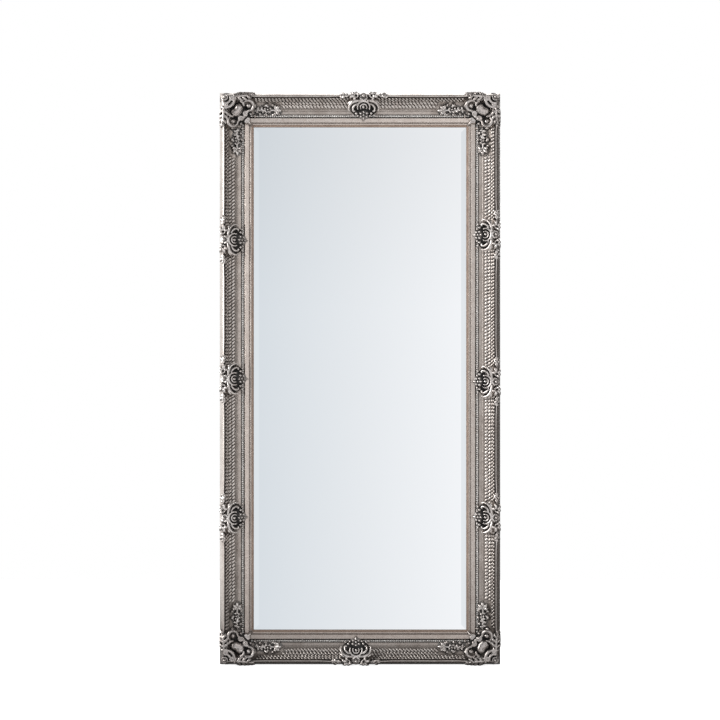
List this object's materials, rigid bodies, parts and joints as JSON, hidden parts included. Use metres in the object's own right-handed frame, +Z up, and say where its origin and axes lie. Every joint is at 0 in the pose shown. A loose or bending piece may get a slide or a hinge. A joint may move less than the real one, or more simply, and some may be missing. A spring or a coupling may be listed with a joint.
{
  "type": "leaning floor mirror",
  "caption": "Tall rectangular floor mirror with a bevelled glass in an ornate silvered swept frame; leans on a wall or hangs from D-rings.",
  "frame": {"origin": "middle of the mirror's width and depth, at the floor it stands on", "axes": "+Z up along the height, +X to the right seen from the front, the glass faces -Y"},
  "size_m": [0.81, 0.067, 1.65],
  "materials": {
    "silvered_moulding": "carved softwood under gesso, silver leaf antiqued with an umber wash",
    "slip": "silver leaf over warm bole, worn at the sight edge",
    "ornament": "cast composition, silvered and darkly antiqued in the hollows",
    "mirror_glass": "silvered float glass with a ground bevel",
    "hardboard": "brown hardboard, smooth side out",
    "zinc_steel": "bright zinc plate",
    "felt": "dark self-adhesive felt"
  },
  "bodies": {
    "frame": {"backing_board": "hardboard", "brace_bottom_left": "zinc_steel", "brace_bottom_right": "zinc_steel", "brace_screws": "zinc_steel", "brace_top_left": "zinc_steel", "brace_top_right": "zinc_steel", "cartouche_bottom": "ornament", "cartouche_left_lower": "ornament", "cartouche_left_middle": "ornament", "cartouche_left_upper": "ornament", "cartouche_right_lower": "ornament", "cartouche_right_middle": "ornament", "cartouche_right_upper": "ornament", "cartouche_top": "ornament", "corner_bottom_left": "ornament", "corner_bottom_right": "ornament", "corner_top_left": "ornament", "corner_top_right": "ornament", "glazing_blades": "zinc_steel", "hanger_screws": "zinc_steel", "mirror_glass": "mirror_glass", "rail_bottom": "silvered_moulding", "rail_left": "silvered_moulding", "rail_right": "silvered_moulding", "rail_top": "silvered_moulding", "slip_bottom": "slip", "slip_left": "slip", "slip_right": "slip", "slip_top": "slip", "spray_bottom_left_on_bottom": "ornament", "spray_bottom_left_on_left": "ornament", "spray_bottom_right_on_bottom": "ornament", "spray_bottom_right_on_right": "ornament", "spray_top_left_on_left": "ornament", "spray_top_left_on_top": "ornament", "spray_top_right_on_right": "ornament", "spray_top_right_on_top": "ornament", "strap_left": "zinc_steel", "strap_right": "zinc_steel", "wall_bumpers": "felt"},
    "ring_left": {"d_ring_left": "zinc_steel"},
    "ring_right": {"d_ring_right": "zinc_steel"}
  },
  "joints": [
    {"name": "d_ring_left_hinge", "type": "hinge", "parent": "frame", "child": "ring_left", "pos_m": [-0.355, 0.0298, 1.4], "axis": [1, 0, 0], "range_deg": [0, 180]},
    {"name": "d_ring_right_hinge", "type": "hinge", "parent": "frame", "child": "ring_right", "pos_m": [0.355, 0.0298, 1.4], "axis": [1, 0, 0], "range_deg": [0, 180]}
  ]
}
